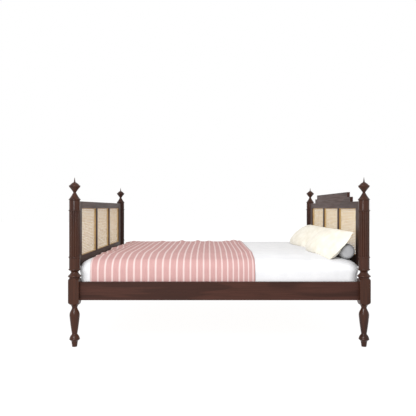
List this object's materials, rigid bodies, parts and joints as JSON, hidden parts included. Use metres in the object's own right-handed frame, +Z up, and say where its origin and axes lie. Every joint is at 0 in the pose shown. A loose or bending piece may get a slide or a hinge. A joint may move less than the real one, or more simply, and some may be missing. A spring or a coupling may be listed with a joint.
{
  "type": "cane bed",
  "caption": "Low bed in dark turned hardwood with cane panels at head and foot, dressed with a mattress, striped throw, pillows and a bolster.",
  "frame": {"origin": "on the floor under the middle of the bed", "axes": "+X from the foot to the head, +Y to the left of someone who stands at the foot and faces the head, +Z up"},
  "size_m": [2.1619, 1.982, 1.208],
  "materials": {
    "dark_hardwood": "satin walnut stain",
    "slat_timber": "planed pine",
    "cane": "natural woven cane",
    "cane_bead": "natural rattan spline",
    "steel": "zinc plated",
    "mattress_cover": "white cotton sheet",
    "throw_cotton": "striped woven cotton",
    "bolster_cover": "grey cotton",
    "pillow_cover": "cream cotton"
  },
  "bodies": {
    "frame": {"barrel_nuts": "steel", "bed_bolts": "steel", "centre_beam": "slat_timber", "finial_dowels": "dark_hardwood", "foot_bottom_rail": "dark_hardwood", "foot_cane_beads": "cane_bead", "foot_cane_left": "cane", "foot_cane_middle": "cane", "foot_cane_right": "cane", "foot_end_rail": "dark_hardwood", "foot_finial_left": "dark_hardwood", "foot_finial_right": "dark_hardwood", "foot_muntin_left": "dark_hardwood", "foot_muntin_right": "dark_hardwood", "foot_post_left": "dark_hardwood", "foot_post_right": "dark_hardwood", "foot_stile_left": "dark_hardwood", "foot_stile_right": "dark_hardwood", "foot_top_rail": "dark_hardwood", "head_bottom_rail": "dark_hardwood", "head_cane_beads": "cane_bead", "head_cane_left": "cane", "head_cane_middle": "cane", "head_cane_right": "cane", "head_crown_rail": "dark_hardwood", "head_end_rail": "dark_hardwood", "head_finial_left": "dark_hardwood", "head_finial_right": "dark_hardwood", "head_muntin_left": "dark_hardwood", "head_muntin_right": "dark_hardwood", "head_post_left": "dark_hardwood", "head_post_right": "dark_hardwood", "head_stile_left": "dark_hardwood", "head_stile_right": "dark_hardwood", "ledge_screws": "steel", "side_rail_left": "dark_hardwood", "side_rail_right": "dark_hardwood", "slat_01": "slat_timber", "slat_02": "slat_timber", "slat_03": "slat_timber", "slat_04": "slat_timber", "slat_05": "slat_timber", "slat_06": "slat_timber", "slat_07": "slat_timber", "slat_08": "slat_timber", "slat_09": "slat_timber", "slat_10": "slat_timber", "slat_11": "slat_timber", "slat_12": "slat_timber", "slat_13": "slat_timber", "slat_ledge_left": "slat_timber", "slat_ledge_right": "slat_timber", "slat_screws": "steel"},
    "mattress": {"mattress": "mattress_cover"},
    "throw": {"throw": "throw_cotton"},
    "bolster": {"bolster": "bolster_cover"},
    "pillow_right": {"pillow_right": "pillow_cover"},
    "pillow_left": {"pillow_left": "pillow_cover"}
  },
  "joints": [
    {"name": "mattress_lift", "type": "slide", "parent": "frame", "child": "mattress", "axis": [0, 0, 1], "range_m": [0, 0.35]},
    {"name": "throw_lift", "type": "slide", "parent": "mattress", "child": "throw", "axis": [0, 0, 1], "range_m": [0, 0.3]},
    {"name": "bolster_lift", "type": "slide", "parent": "mattress", "child": "bolster", "axis": [0, 0, 1], "range_m": [0, 0.25]},
    {"name": "pillow_right_lift", "type": "slide", "parent": "bolster", "child": "pillow_right", "axis": [0, 0, 1], "range_m": [0, 0.3]},
    {"name": "pillow_left_lift", "type": "slide", "parent": "bolster", "child": "pillow_left", "axis": [0, 0, 1], "range_m": [0, 0.3]}
  ]
}
